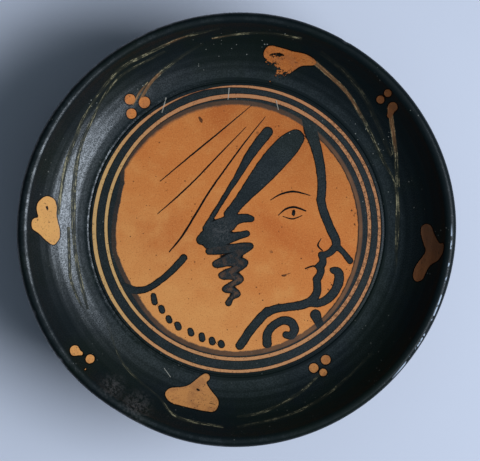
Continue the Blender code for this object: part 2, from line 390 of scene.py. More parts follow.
# Stage. Lights: azimuth and elevation in degrees, distance, width, depth and colour
KEY_LIGHT = (-13, 50, 1.2, 0.70, 0.68, (0.77, 0.87, 1.0))
CEILING_LIGHT = (60, 88, 2.2, 2.0, 2.0, (0.62, 0.85, 1.0))
SKY_COLOUR = (0.62, 0.78, 1.0, 1.0)
SKY_STRENGTH = 0.05
FLOOR_SIZE = 6.0
SENSOR_WIDTH = 36.0
PHOTO_WIDTH = 480.0
RIM_IN_PHOTO = 441.0
AIM = (1.19 * MM, -0.03 * MM)

INSIDE_MATERIAL, OUTSIDE_MATERIAL = range(2)

LENGTH = {"subtype": "DISTANCE", "unit": "LENGTH", "precision": 6}
COLOUR = {"subtype": "COLOR", "size": 3, "min": 0, "max": 1}


class PlateShape(bpy.types.PropertyGroup):
    """Sizes of the turned plate"""

    rim_radius: bpy.props.FloatProperty(
        name="Rim Radius", description="From the axis to the widest point of the lip",
        default=RIM_RADIUS, **LENGTH,
    )
    height: bpy.props.FloatProperty(
        name="Height", description="From the standing ring to the crest of the lip",
        default=HEIGHT, **LENGTH,
    )
    dish_depth: bpy.props.FloatProperty(
        name="Dish Depth", description="From the crest of the lip down to the flat floor",
        default=DISH_DEPTH, **LENGTH,
    )
    ripple_height: bpy.props.FloatProperty(
        name="Turning Ripple", description="Height of the fine rings that the fingers leave",
        default=RIPPLE_HEIGHT, **LENGTH,
    )


class PlateColours(bpy.types.PropertyGroup):
    """Colours of the fired clay and slip"""

    clay: bpy.props.FloatVectorProperty(
        name="Clay", description="Reserved clay",
        default=(0.725, 0.214, 0.046), **COLOUR,
    )
    clay_red: bpy.props.FloatVectorProperty(
        name="Red Clay", description="Redder patches of the reserved clay",
        default=(0.635, 0.156, 0.030), **COLOUR,
    )
    clay_pale: bpy.props.FloatVectorProperty(
        name="Pale Clay", description="Paler, yellower patches of the reserved clay",
        default=(0.885, 0.380, 0.110), **COLOUR,
    )
    slip: bpy.props.FloatVectorProperty(
        name="Black Slip", description="The glossy black",
        default=(0.0045, 0.0085, 0.0095), **COLOUR,
    )
    slip_green: bpy.props.FloatVectorProperty(
        name="Green Black Slip", description="Olive patches of the glossy black",
        default=(0.0050, 0.0095, 0.0075), **COLOUR,
    )
    thin_slip: bpy.props.FloatVectorProperty(
        name="Thin Slip", description="Brown where the slip was laid on thin",
        default=(0.250, 0.108, 0.046), **COLOUR,
    )
    added: bpy.props.FloatVectorProperty(
        name="Stem Colour", description="Worn yellow green of the ivy stems",
        default=(0.38, 0.325, 0.185), **COLOUR,
    )


class StageSettings(bpy.types.PropertyGroup):
    """Floor, lights and camera"""

    floor_colour: bpy.props.FloatVectorProperty(
        name="Floor", description="Plain pale floor",
        default=(0.795, 0.80, 0.88), **COLOUR,
    )
    key_power: bpy.props.FloatProperty(
        name="Key Light", description="Large soft light at the right", default=15.1, unit="POWER",
    )
    ceiling_power: bpy.props.FloatProperty(
        name="Ceiling Light", description="Weak soft light overhead", default=3.8, unit="POWER",
    )
    camera_distance: bpy.props.FloatProperty(
        name="Camera Distance", description="From the lens to the plane of the lip",
        default=0.90, **LENGTH,
    )
    camera_tilt: bpy.props.FloatProperty(
        name="Camera Tilt", description="Away from straight down",
        default=math.radians(2.0), subtype="ANGLE", unit="ROTATION",
    )


def heading(angle):
    return Vector((math.cos(angle), math.sin(angle)))


def arc(centre, radius, start, end, steps):
    turn = (end - start) / steps
    return [centre + radius * heading(start + i * turn) for i in range(steps + 1)]


def smooth_curve(start, start_angle, end, end_angle, steps, pulls=(1.0, 1.0)):
    """Points on one smooth curve that leaves start and reaches end in the headings given."""
    reach = (end - start).length
    leave = heading(start_angle) * reach * pulls[0]
    arrive = heading(end_angle) * reach * pulls[1]
    points = []
    for i in range(steps + 1):
        t = i / steps
        points.append(
            (2 * t**3 - 3 * t**2 + 1) * start + (t**3 - 2 * t**2 + t) * leave
            + (3 * t**2 - 2 * t**3) * end + (t**3 - t**2) * arrive
        )
    return points


def moved_outward(points, distance):
    """The same line moved to the right of its heading: the wall's other side."""
    moved = []
    for i, point in enumerate(points):
        along = (points[min(i + 1, len(points) - 1)] - points[max(i - 1, 0)]).normalized()
        moved.append(point + distance * Vector((along.y, -along.x)))
    return moved


def floor_line(level):
    """From the edge of the grid-filled middle out to the groove, and down and up its rounded bed."""
    groove = FLOOR_RADIUS - GROOVE_INSET
    count = round((groove - GRID_RADIUS) / FLOOR_STEP)
    line = [Vector((GRID_RADIUS + (groove - GRID_RADIUS) * i / count, level)) for i in range(count + 1)]
    for i in range(1, GROOVE_STEPS + 1):
        share = i / GROOVE_STEPS
        dip = GROOVE_DEPTH * math.sin(math.pi * share) ** 2
        line.append(Vector((groove + GROOVE_WIDTH * share, level - dip)))
    line.append(Vector((FLOOR_RADIUS + GROOVE_SHOULDER * GROOVE_WIDTH, level)))
    line.append(Vector((FLOOR_RADIUS + GROOVE_WIDTH, level)))
    return line


def plate_profile(shape):
    """Radius and height from the floor's middle part, over the lip and down to the hollow's top."""
    rim, crest = shape.rim_radius, shape.height
    level = crest - shape.dish_depth
    inner_reach = rim - LIP_WIDTH + LIP_INNER_ROUND * math.sin(WALL_END_SLOPE)
    inner_centre = Vector((inner_reach, crest - LIP_INNER_ROUND))
    outer_centre = Vector((rim - LIP_OUTER_ROUND, crest - LIP_OUTER_ROUND))
    upright = math.pi / 2
    lip = arc(inner_centre, LIP_INNER_ROUND, upright + WALL_END_SLOPE, upright, LIP_STEPS)
    lip += arc(outer_centre, LIP_OUTER_ROUND, upright, 0.0, LIP_OUTER_STEPS)
    wall_foot = Vector((FLOOR_RADIUS + GROOVE_WIDTH, level))
    wall = smooth_curve(wall_foot, WALL_START_SLOPE, lip[0], WALL_END_SLOPE, WALL_STEPS)
    coarse = smooth_curve(wall_foot, WALL_START_SLOPE, lip[0], WALL_END_SLOPE, OUTER_WALL_STEPS)
    outer_wall = moved_outward(coarse, WALL_THICKNESS)[::-1]
    waist = Vector((STEM_RADIUS, STEM_WAIST_HEIGHT))
    below = smooth_curve(
        outer_wall[-1], math.pi + WALL_START_SLOPE, waist, -upright, UNDERSIDE_STEPS, UNDERSIDE_PULLS
    )
    top_centre = Vector((FOOT_RADIUS - FOOT_TOP_ROUND, FOOT_EDGE_HEIGHT - FOOT_TOP_ROUND))
    edge = arc(top_centre, FOOT_TOP_ROUND, upright - FOOT_TOP_SLOPE, 0.0, FOOT_TOP_STEPS)
    flare = smooth_curve(waist, -upright, edge[0], -FOOT_TOP_SLOPE, FLARE_STEPS, FLARE_PULLS)
    bottom_centre = Vector((FOOT_RADIUS - FOOT_BOTTOM_ROUND, FOOT_BOTTOM_ROUND))
    bottom = arc(bottom_centre, FOOT_BOTTOM_ROUND, 0.0, -upright, FOOT_BOTTOM_STEPS)
    ring_inside = Vector((FOOT_RADIUS - FOOT_BOTTOM_ROUND - STANDING_RING_WIDTH, 0.0))
    apex = Vector((0.0, HOLLOW_DEPTH))
    hollow = smooth_curve(
        ring_inside, math.pi - HOLLOW_SIDE_SLOPE, apex, math.pi, HOLLOW_STEPS, HOLLOW_PULLS
    )
    upper = floor_line(level) + wall[1:] + lip[1:]
    return upper + outer_wall + below[1:] + flare[1:] + edge[1:] + bottom + hollow


def deselect_all():
    if bpy.context.object and bpy.context.object.mode != "OBJECT":
        bpy.ops.object.mode_set(mode="OBJECT")
    bpy.ops.object.select_all(action="DESELECT")


def draw_profile(name, points):
    """One vertex of a plane, drawn out point by point along the profile, as by hand."""
    deselect_all()
    bpy.ops.mesh.primitive_plane_add(size=MM)
    piece = bpy.context.object
    piece.name = piece.data.name = name
    bpy.ops.object.mode_set(mode="EDIT")
    bpy.ops.mesh.select_all(action="SELECT")
    bpy.ops.mesh.merge(type="CENTER")
    bpy.ops.transform.translate(value=(points[0].x, 0.0, points[0].y))
    for before, after in zip(points, points[1:]):
        step = after - before
        if step.length > MERGE_DISTANCE:
            bpy.ops.mesh.extrude_region_move(TRANSFORM_OT_translate={"value": (step.x, 0.0, step.y)})
    return piece


def turn_profile(piece):
    """Turns the drawn line about Z, closes the seam, fills the floor and faces all outwards."""
    bpy.ops.object.mode_set(mode="OBJECT")
    bpy.ops.object.transform_apply(location=True, rotation=True, scale=True)
    bpy.ops.object.modifier_add(type="SCREW")
    turn = piece.modifiers[-1]
    turn.axis = "Z"
    turn.angle = 2 * math.pi
    turn.screw_offset = 0.0
    turn.steps = turn.render_steps = TURNS
    turn.use_merge_vertices = True
    turn.merge_threshold = MERGE_DISTANCE
    bpy.ops.object.modifier_apply(modifier=turn.name)
    bpy.ops.object.mode_set(mode="EDIT")
    bpy.ops.mesh.select_mode(type="VERT")
    bpy.ops.mesh.select_all(action="SELECT")
    bpy.ops.mesh.remove_doubles(threshold=MERGE_DISTANCE)
    bpy.ops.mesh.select_all(action="DESELECT")
    bpy.ops.mesh.select_mode(type="EDGE")
    shape = bmesh.from_edit_mesh(piece.data)
    for edge in shape.edges:
        edge.select_set(edge.is_boundary)
    bmesh.update_edit_mesh(piece.data)
    bpy.ops.mesh.fill_grid(span=TURNS // 4, offset=0, use_interp_simple=False)
    bpy.ops.mesh.select_mode(type="VERT")
    bpy.ops.mesh.select_all(action="SELECT")
    bpy.ops.mesh.normals_make_consistent(inside=False)
    bpy.ops.object.mode_set(mode="OBJECT")
    bpy.ops.object.shade_smooth()


def mesh_points(mesh):
    points = np.zeros(len(mesh.vertices) * 3, np.float64)
    mesh.vertices.foreach_get("co", points)
    return points.reshape(-1, 3)


def share_of(value, low, high):
    """How far the value has come from low to high, from 0 to 1."""
    return np.clip((value - low) / (high - low), 0, 1)


def gap_to(spots, x, y):
    return np.hypot(spots[:, 0] - x, spots[:, 1] - y)


def inside_of_dish(points):
    """True for the vertices of the dish's upper side, up to the lip's crest."""
    radius = np.hypot(points[:, 0], points[:, 1])
    outward = share_of(radius, FLOOR_RADIUS, RIM_RADIUS)
    return points[:, 2] > FLOOR_LEVEL + outward**WALL_BEND * DISH_DEPTH - 0.5 * WALL_THICKNESS


def add_hand_of_potter(piece, shape):
    """Fine turning rings, a slow wave, an uneven rim and small chips, all inside the CAD box."""
    mesh = piece.data
    points = mesh_points(mesh)
    x, y, z = points.T
    radius = np.hypot(x, y)
    angle = np.arctan2(y, x)
    raised = share_of(z, STEM_WAIST_HEIGHT, FLOOR_LEVEL)
    outward = share_of(radius, FLOOR_RADIUS, RIM_RADIUS)
    turned = [round_the_dial(angle + turn, RIM_INSET, 1) for turn in RIM_EASING * np.arange(-2, 3)]
    inset = MM * raised * outward**2 * np.mean(turned, axis=0)
    swell = 0.5 + 0.3 * np.sin(2 * angle + 0.7) + 0.2 * np.sin(3 * angle + 2.1)
    wave = WAVE_HEIGHT * raised * outward * swell
    turning = np.sin(2 * math.pi * radius / RIPPLE_SPACING + 0.4 * np.sin(angle + 0.8))
    fine = np.sin(2 * math.pi * radius / FINE_RIPPLE_SPACING + 0.6 * np.sin(2 * angle))
    wall_start = FLOOR_RADIUS + GROOVE_WIDTH
    on_wall = share_of(radius, wall_start, wall_start + 4 * MM)
    on_wall *= share_of(radius, RIM_RADIUS - RIM_BAND, RIM_RADIUS - 2 * RIM_BAND)
    ripple = shape.ripple_height * raised * on_wall * (turning + 0.35 * fine)
    shrink = 1 - inset / np.maximum(radius, MM)
    points[:, 0] *= shrink
    points[:, 1] *= shrink
    points[:, 2] += ripple - wave
    for chip_x, chip_y, reach in LIP_CHIPS:
        away = gap_to(points, chip_x * MM, chip_y * MM) / (reach * MM)
        on_lip = share_of(points[:, 2], HEIGHT - RIM_BAND, HEIGHT)
        depth = CHIP_DEPTH * np.clip(1 - away**2, 0, 1) * on_lip
        points[:, 0] -= depth * np.cos(angle)
        points[:, 1] -= depth * np.sin(angle)
        points[:, 2] -= 0.6 * depth
    mesh.vertices.foreach_set("co", points.ravel())
    mesh.update()


def eased(points, parts=5, closed=False):
    """The drawn points joined by a smooth curve through all of them."""
    drawn = np.array(points, float)
    if len(drawn) < 3:
        return drawn
    if closed:
        before, after = np.roll(drawn, 1, 0), np.roll(drawn, -2, 0)
        start, end = drawn, np.roll(drawn, -1, 0)
    else:
        start, end = drawn[:-1], drawn[1:]
        before = np.vstack([drawn[:1], drawn[:-2]])
        after = np.vstack([drawn[2:], drawn[-1:]])
    t = (np.arange(parts) / parts)[None, :, None]
    p0, p1, p2, p3 = (p[:, None, :] for p in (before, start, end, after))
    curve = 0.5 * (
        2 * p1 + (p2 - p0) * t + (2 * p0 - 5 * p1 + 4 * p2 - p3) * t**2 + (3 * p1 - p0 - 3 * p2 + p3) * t**3
    )
    curve = curve.reshape(-1, drawn.shape[1])
    return curve if closed else np.vstack([curve, drawn[-1:]])


def segment_fields(spots, start, end):
    """Share along the segment, distance from it, and signed distance across its line."""
    along = end[:2] - start[:2]
    length = max(np.hypot(*along), TINY)
    away = spots - start[:2]
    share = np.clip(away @ along / length**2, 0, 1)
    gap = away - share[:, None] * along
    across = (away[:, 0] * along[1] - away[:, 1] * along[0]) / length
    return share, np.hypot(gap[:, 0], gap[:, 1]), across


def stroke_depth(spots, strokes):
    """Distance to the painted strokes' edge in millimetres, negative inside them."""
    nearest = np.full(len(spots), FAR)
    for stroke in strokes:
        path = eased(stroke)
        for start, end in zip(path, path[1:]):
            share, distance, _ = segment_fields(spots, start, end)
            nearest = np.minimum(nearest, distance - (start[2] + share * (end[2] - start[2])))
    return nearest


def line_fields(spots, lines):
    """For the nearest line: signed offset across it, distance, half width and strength."""
    fields = np.tile(np.array([FAR, FAR, 0.0, 0.0]), (len(spots), 1))
    for line in lines:
        path = eased(line)
        for start, end in zip(path, path[1:]):
            share, distance, across = segment_fields(spots, start, end)
            closer = distance < fields[:, 1]
            fields[closer, 0] = across[closer]
            fields[closer, 1] = distance[closer]
            fields[closer, 2] = (start[2] + share * (end[2] - start[2]))[closer]
            if len(start) > 3:
                fields[closer, 3] = (start[3] + share * (end[3] - start[3]))[closer]
    return fields


def outline_depth(spots, outline):
    """Distance to a closed outline, negative inside it."""
    path = eased(outline, closed=True)
    nearest = np.full(len(spots), FAR)
    inside = np.zeros(len(spots), bool)
    for start, end in zip(path, np.roll(path, -1, 0)):
        _, distance, _ = segment_fields(spots, start, end)
        nearest = np.minimum(nearest, distance)
        crosses = (start[1] > spots[:, 1]) != (end[1] > spots[:, 1])
        rise = end[1] - start[1] or TINY
        crossing = start[0] + (spots[:, 1] - start[1]) / rise * (end[0] - start[0])
        inside ^= crosses & (spots[:, 0] < crossing)
    return np.where(inside, -nearest, nearest)


def round_the_dial(angle, table, column):
    """A value of the table, read smoothly round the full turn. Angles are in degrees."""
    rows = np.array(table, float)
    degrees = np.concatenate([rows[:, 0] - 360, rows[:, 0], rows[:, 0] + 360])
    values = np.tile(rows[:, column], 3)
    return np.interp(np.degrees(angle) % 360, degrees, values)


def keep_values(mesh, name, values):
    """Stores a number or a vector for each vertex."""
    kind = "FLOAT" if values.ndim == 1 else "FLOAT_VECTOR"
    field = "value" if values.ndim == 1 else "vector"
    layer = mesh.attributes.new(name, kind, "POINT")
    layer.data.foreach_set(field, np.ascontiguousarray(values, np.float32).ravel())


def paint_values(piece):
    """Stores on the vertices how far, in metres, each lies from what is painted near it."""
    mesh = piece.data
    points = mesh_points(mesh)
    inside = inside_of_dish(points)
    spots = points[inside, :2] / (PAINTING_SHARE * MM)
    radius = np.hypot(spots[:, 0], spots[:, 1])
    angle = np.arctan2(spots[:, 1], spots[:, 0])

    def store(name, values, blank):
        whole = np.full((len(points), *values.shape[1:]), blank, float)
        whole[inside] = values
        keep_values(mesh, name, whole)

    def ring_depth(centre, ring_radius, widths):
        return np.abs(gap_to(spots, *centre) - ring_radius) - round_the_dial(angle, widths, 1)

    def store_distance(name, distances):
        store(name, distances * MM, FAR * MM)

    outer = ring_depth(OUTER_RING_CENTRE, OUTER_RING_RADIUS, OUTER_RING_WIDTHS)
    inner = ring_depth(INNER_RING_CENTRE, INNER_RING_RADIUS, INNER_RING_WIDTHS)
    store_distance("ring_edge", np.minimum(outer, inner))
    for name, strokes in STROKES.items():
        store_distance(name, stroke_depth(spots, strokes))
    leaves = [outline_depth(spots, leaf) for leaf in LEAVES]
    dots = [gap_to(spots, x, y) - reach for x, y, reach in (*BERRIES, *SMALL_FLAKES)]
    painted = np.min([*leaves, *dots, stroke_depth(spots, BERRY_TAILS)], axis=0)
    store_distance("leaf_edge", np.maximum(painted, -stroke_depth(spots, LEAF_FLAWS)))
    store_distance("field_edge", radius - round_the_dial(angle, FIELD_EDGE, 1))
    store("field_softness", round_the_dial(angle, FIELD_EDGE, 2) * MM, 0.0)
    store("slip_thinness", round_the_dial(angle, FIELD_EDGE, 3), 0.0)
    # Painted highlight (above 0) and painted shade (below 0) for leaves, berries and rings, by angle
    store("ivy_light_shade", round_the_dial(angle, PAINTED_IVY_LIGHT, 1), 0.0)
    # Leaf wear, and the patches of painted sheen on the black
    for name, places in (("leaf_wear", LEAF_WEAR), ("rubbed_patch", PAINTED_SHEEN_PATCHES)):
        away = np.min([gap_to(spots, x, y) / reach for x, y, reach in places], axis=0)
        store(name, 1 - np.clip(away, 0, 1), 0.0)
    for name, lines in LINES.items():
        fields = line_fields(spots, lines)
        store_distance(name, fields[:, :3])
        if len(lines[0][0]) > 3:
            store(name + "_strength", fields[:, 3], 0.0)

    normals = np.zeros(len(points) * 3)
    mesh.vertices.foreach_get("normal", normals)
    faces_down = (normals.reshape(-1, 3)[:, 2] < -0.2) & (points[:, 2] < HOLLOW_DEPTH + 1 * MM)
    keep_values(mesh, "unslipped_edge", np.where(faces_down, -MM, MM))


def assign_sides(piece):
    """Inner surface and outer surface take their own materials."""
    mesh = piece.data
    inside = inside_of_dish(mesh_points(mesh))
    corners = np.zeros(len(mesh.loops), np.int32)
    mesh.loops.foreach_get("vertex_index", corners)
    starts = np.zeros(len(mesh.polygons), np.int32)
    mesh.polygons.foreach_get("loop_start", starts)
    sides = np.where(inside[corners[starts]], INSIDE_MATERIAL, OUTSIDE_MATERIAL).astype(np.int32)
    mesh.polygons.foreach_set("material_index", sides)
    mesh.update()


class Wiring:
    """Adds nodes to one node tree and joins them."""

    def __init__(self, tree):
        self.tree = tree

    def node(self, kind, inputs=(), **settings):
        made = self.tree.nodes.new("ShaderNode" + kind)
        for name, value in settings.items():
            setattr(made, name, value)
        for socket, value in dict(inputs).items():
            self.feed(made.inputs[socket], value)
        return made

    def feed(self, socket, value):
        if isinstance(value, bpy.types.NodeSocket):
            self.tree.links.new(value, socket)
        elif isinstance(value, (tuple, list)) and len(value) == 3 and socket.type == "RGBA":
            socket.default_value = (*value, 1.0)
        else:
            socket.default_value = value

    def math(self, operation, *values, clamp=False):
        return self.node("Math", enumerate(values), operation=operation, use_clamp=clamp).outputs[0]

    def chain(self, operation, values, clamp=False):
        """The values joined two by two, from the first to the last."""
        result = values[0]
        for value in values[1:]:
            result = self.math(operation, result, value, clamp=clamp)
        return result

    def plus(self, *values):
        return self.chain("ADD", values)

    def times(self, *values, clamp=False):
        return self.chain("MULTIPLY", values, clamp)

    def most(self, *values):
        return self.chain("MAXIMUM", values)

    def minus(self, first, second):
        return self.math("SUBTRACT", first, second)

    def rest(self, value):
        """What is left of 1."""
        return self.minus(1.0, value)

    def parts(self, vector):
        return self.node("SeparateXYZ", {"Vector": vector}).outputs

    def joined(self, x, y, z):
        return self.node("CombineXYZ", {"X": x, "Y": y, "Z": z}).outputs[0]

    def from_axis(self, position):
        """The position's parts, the way out from Z and the distance from Z."""
        parts = self.parts(position)
        flat = self.joined(parts["X"], parts["Y"], 0.0)
        return parts, flat, self.node("VectorMath", {0: flat}, operation="LENGTH").outputs["Value"]

    def noise(self, vector, scale, detail=2.0, roughness=0.5, distortion=0.0):
        return self.node(
            "TexNoise",
            {
                "Vector": vector, "Scale": scale, "Detail": detail,
                "Roughness": roughness, "Distortion": distortion,
            },
        ).outputs["Fac"]

    def spread(self, value, low, high, to_low=0.0, to_high=1.0, smooth=True):
        """The value's range from low to high, spread over to_low to to_high."""
        return self.node(
            "MapRange",
            {"Value": value, "From Min": low, "From Max": high, "To Min": to_low, "To Max": to_high},
            interpolation_type="SMOOTHSTEP" if smooth else "LINEAR",
        ).outputs["Result"]

    def fade(self, distance, low, high, to_low=0.0, to_high=1.0):
        """As spread, with low and high in millimetres."""
        return self.spread(distance, low * MM, high * MM, to_low, to_high)

    def strip(self, distance, low, high, low_fade, high_fade):
        """Mask of a strip from low to high, faded inside each end. All in millimetres."""
        return self.times(
            self.fade(distance, low, low + low_fade), self.fade(distance, high, high - high_fade)
        )

    def patches(self, vector, noise, low, high, to_low=0.0, to_high=1.0):
        """As spread, of noise with the scale, detail and roughness given."""
        return self.spread(self.noise(vector, *noise), low, high, to_low, to_high)

    def blend(self, factor, first, second):
        """From the first colour to the second."""
        return self.node(
            "Mix", {0: factor, 6: first, 7: second}, data_type="RGBA", blend_type="MIX"
        ).outputs[2]

    def tinted(self, colour, *layers):
        """The colour under layers of mask, strength and shade, the last on top."""
        for mask, strength, shade in layers:
            colour = self.blend(self.times(mask, strength), colour, shade)
        return colour

    def value(self, factor, first, second):
        """From the first number to the second."""
        return self.node("Mix", {0: factor, 2: first, 3: second}, data_type="FLOAT").outputs[0]

    def attribute(self, name, output="Fac"):
        return self.node("Attribute", attribute_name=name, attribute_type="GEOMETRY").outputs[output]

    def group(self, name, **inputs):
        return self.node("Group", inputs, node_tree=bpy.data.node_groups[name]).outputs

    def painted(self, here, distance, wobble, softness):
        """Mask of what lies inside a painted edge."""
        return self.group(
            "brushed_edge", Distance=distance, Position=here, Wobble=wobble, Softness=softness
        )["Mask"]


def new_group(name, inputs, outputs):
    """An empty shader node group: its wiring, and its input and output sockets."""
    tree = bpy.data.node_groups.new(name, "ShaderNodeTree")
    for in_out, sockets in (("INPUT", inputs), ("OUTPUT", outputs)):
        for socket in sockets:
            kind = "NodeSocket" + SOCKET_KINDS.get(socket, "Float")
            tree.interface.new_socket(name=socket, in_out=in_out, socket_type=kind)
    given = tree.nodes.new("NodeGroupInput").outputs
    result = tree.nodes.new("NodeGroupOutput").inputs
    return Wiring(tree), given, result


def make_brushed_edge():
    """Mask of a painted area from the distance to its edge, with a hand-drawn wobble."""
    w, given, result = new_group(
        "brushed_edge", ("Distance", "Position", "Wobble", "Softness"), ("Mask",)
    )
    slow = w.minus(w.noise(given["Position"], 420.0, 2.0), 0.5)
    fine = w.minus(w.noise(given["Position"], 2600.0, 1.0), 0.5)
    sway = w.times(w.plus(slow, w.times(fine, 0.4)), given["Wobble"])
    share = w.math("DIVIDE", w.plus(given["Distance"], sway), w.most(given["Softness"], LEAST_SOFTNESS))
    w.feed(result["Mask"], w.spread(share, 0.5, -0.5))


def make_drawn_line():
    """Mask of a thin line from offset, distance and half width, and the hairs of its brush."""
    w, given, result = new_group(
        "drawn_line", ("Line", "Position", "Reach", "Softness"), ("Mask", "Hairs")
    )
    line = w.parts(given["Line"])
    place = w.parts(given["Position"])
    sway = w.times(w.minus(w.noise(given["Position"], 900.0, 2.0), 0.5), LINE_SWAY)
    edge = w.minus(w.math("ABSOLUTE", w.plus(line["X"], sway)), line["Z"])
    drawn = w.spread(w.math("DIVIDE", edge, given["Softness"]), 0.5, -0.5)
    w.feed(result["Mask"], w.times(drawn, w.math("LESS_THAN", line["Y"], given["Reach"])))
    combed = w.joined(*(
        w.times(part, scale)
        for part, scale in ((line["X"], HAIRS_ACROSS), (place["X"], HAIRS_ALONG), (place["Y"], HAIRS_ALONG))
    ))
    w.feed(result["Hairs"], w.noise(combed, 1.0, 3.0, 0.7))


def make_turning_marks():
    """Concentric streaks round Z, as brush and wheel leave them."""
    w, given, result = new_group("turning_marks", ("Position", "Spacing"), ("Streaks",))
    place, flat, radius = w.from_axis(given["Position"])
    turn = w.parts(w.node("VectorMath", {0: flat}, operation="NORMALIZE").outputs["Vector"])
    rings = w.math("DIVIDE", w.plus(radius, w.times(place["Z"], 0.8)), given["Spacing"])
    w.feed(result["Streaks"], w.noise(w.joined(turn["X"], turn["Y"], rings), 1.0, 4.0, 0.62))


def make_fine_pits():
    """Small scattered pits and grains: a mask of sparse spots."""
    w, given, result = new_group("fine_pits", ("Position", "Density", "Share"), ("Mask",))
    cells = w.node(
        "TexVoronoi", {"Vector": given["Position"], "Scale": given["Density"]}, feature="F1"
    ).outputs
    chosen = w.node("SeparateColor", {"Color": cells["Color"]}).outputs
    wanted = w.math("LESS_THAN", chosen[0], given["Share"])
    size = w.plus(w.times(chosen[1], 0.22), 0.12)
    spot = w.spread(w.math("DIVIDE", cells["Distance"], size), 1.0, 0.55)
    w.feed(result["Mask"], w.times(spot, wanted))


def make_worn_edge():
    """Mask where handling has rubbed an edge: near a height, broken by noise."""
    w, given, result = new_group("worn_edge", ("Position", "Nearness", "Amount"), ("Mask",))
    broken = w.noise(given["Position"], 260.0, 5.0, 0.65)
    limit = w.rest(w.times(given["Nearness"], given["Amount"]))
    w.feed(result["Mask"], w.spread(w.minus(broken, limit), 0.0, 0.06))


def make_black_slip(colours):
    """The glossy black: colour, roughness, height and how strongly it shines."""
    w, given, result = new_group(
        "black_slip", ("Position",), ("Color", "Roughness", "Height", "Shine")
    )
    here = given["Position"]
    streaks = w.group("turning_marks", Position=here, Spacing=SLIP_STREAK_SPACING)["Streaks"]
    clouds = w.noise(here, 38.0, 4.0, 0.6)
    grain = w.noise(here, 2100.0, 2.0, 0.8)
    rubbed = w.noise(here, 130.0, 5.0, 0.7, 0.6)
    pits = w.times(
        w.group("fine_pits", Position=here, Density=1150.0, Share=0.12)["Mask"],
        w.patches(here, (75.0, 3.0, 0.6), 0.50, 0.62),
        w.fade(w.parts(here)["Y"], -10, 40, 0.30, 1.0),
    )
    w.feed(result["Color"], w.tinted(
        w.blend(w.spread(clouds, 0.42, 0.62), tuple(colours.slip), tuple(colours.slip_green)),
        (w.spread(streaks, 0.56, 0.78), 0.25, SLIP_STREAK),
        (w.spread(grain, 0.55, 0.72), 0.35, SLIP_GRAIN),
        (pits, 0.80, SLIP_PIT),
    ))
    w.feed(result["Roughness"], w.plus(
        w.spread(streaks, 0.3, 0.75, 0.34, 0.42), w.spread(grain, 0.3, 0.7, -0.04, 0.06),
        w.times(pits, 0.3),
    ))
    height = w.plus(
        w.times(streaks, 0.010 * MM), w.times(grain, 0.012 * MM), w.times(rubbed, 0.040 * MM)
    )
    w.feed(result["Height"], w.minus(height, w.times(pits, PIT_DEPTH)))
    w.feed(result["Shine"], w.times(
        w.spread(grain, 0.42, 0.58, 1.0, 0.30), w.spread(rubbed, 0.36, 0.66, 1.0, 0.60),
        w.spread(streaks, 0.45, 0.75, 1.0, 0.80), w.rest(pits),
    ))


def make_reserved_clay(colours):
    """Bare fired clay: mottled colour, dark specks, roughness and height."""
    w, given, result = new_group("reserved_clay", ("Position",), ("Color", "Roughness", "Height"))
    here = given["Position"]
    place = w.parts(here)
    cloud = w.noise(here, 120.0, 4.0, 0.6)
    grain = w.noise(here, 2200.0, 3.0, 0.75)
    streaks = w.group("turning_marks", Position=here, Spacing=CLAY_STREAK_SPACING)["Streaks"]
    specks = w.group("fine_pits", Position=here, Density=900.0, Share=0.10)["Mask"]
    marks = w.group("fine_pits", Position=here, Density=420.0, Share=0.016)["Mask"]
    # Paler towards the lower left, darker towards the upper right
    down_left = w.plus(w.times(place["X"], -0.55), w.times(place["Y"], -0.85))
    paler_down_left = w.plus(w.times(down_left, 9.0), w.times(w.minus(cloud, 0.5), 0.5))
    red = w.patches(here, (34.0, 3.0, 0.55, 0.4), 0.46, 0.66)
    pale = tuple(colours.clay_pale)
    w.feed(result["Color"], w.tinted(
        w.blend(red, tuple(colours.clay), tuple(colours.clay_red)),
        (w.spread(cloud, 0.48, 0.72), 0.22, pale),
        (w.spread(paler_down_left, -0.10, 0.42), 0.75, pale),
        (w.fade(down_left, -10, -45), 0.30, CLAY_UPPER_RIGHT),
        (w.spread(grain, 0.52, 0.68), 0.46, CLAY_GRAIN),
        (w.spread(grain, 0.47, 0.34), 0.40, pale),
        (w.spread(streaks, 0.5, 0.8), 0.14, CLAY_STREAK),
        (specks, 0.70, CLAY_SPECK),
        (marks, 0.45, CLAY_MARK),
    ))
    w.feed(result["Roughness"], w.spread(cloud, 0.3, 0.7, 0.52, 0.66))
    height = w.plus(w.times(grain, 0.014 * MM), w.times(streaks, 0.012 * MM))
    w.feed(result["Height"], w.minus(height, w.times(specks, PIT_DEPTH)))


def new_material(name, gloss):
    """A material with its fixed values set on the shader's own sockets."""
    material = bpy.data.materials.new(name)
    material.use_nodes = True
    w = Wiring(material.node_tree)
    shader = material.node_tree.nodes["Principled BSDF"]
    for socket, value in gloss.items():
        shader.inputs[socket].default_value = value
    return material, w, shader, w.node("TexCoord").outputs["Object"]


def wire_surface(w, shader, colour, roughness, height, coat):
    """Leads what was worked out to the shader, the height through a bump."""
    bump = w.node("Bump", {"Height": height, "Strength": 1.0, "Distance": 1.0}).outputs["Normal"]
    results = {"Base Color": colour, "Roughness": roughness, "Coat Weight": coat, "Normal": bump}
    for socket, value in results.items():
        w.feed(shader.inputs[socket], value)


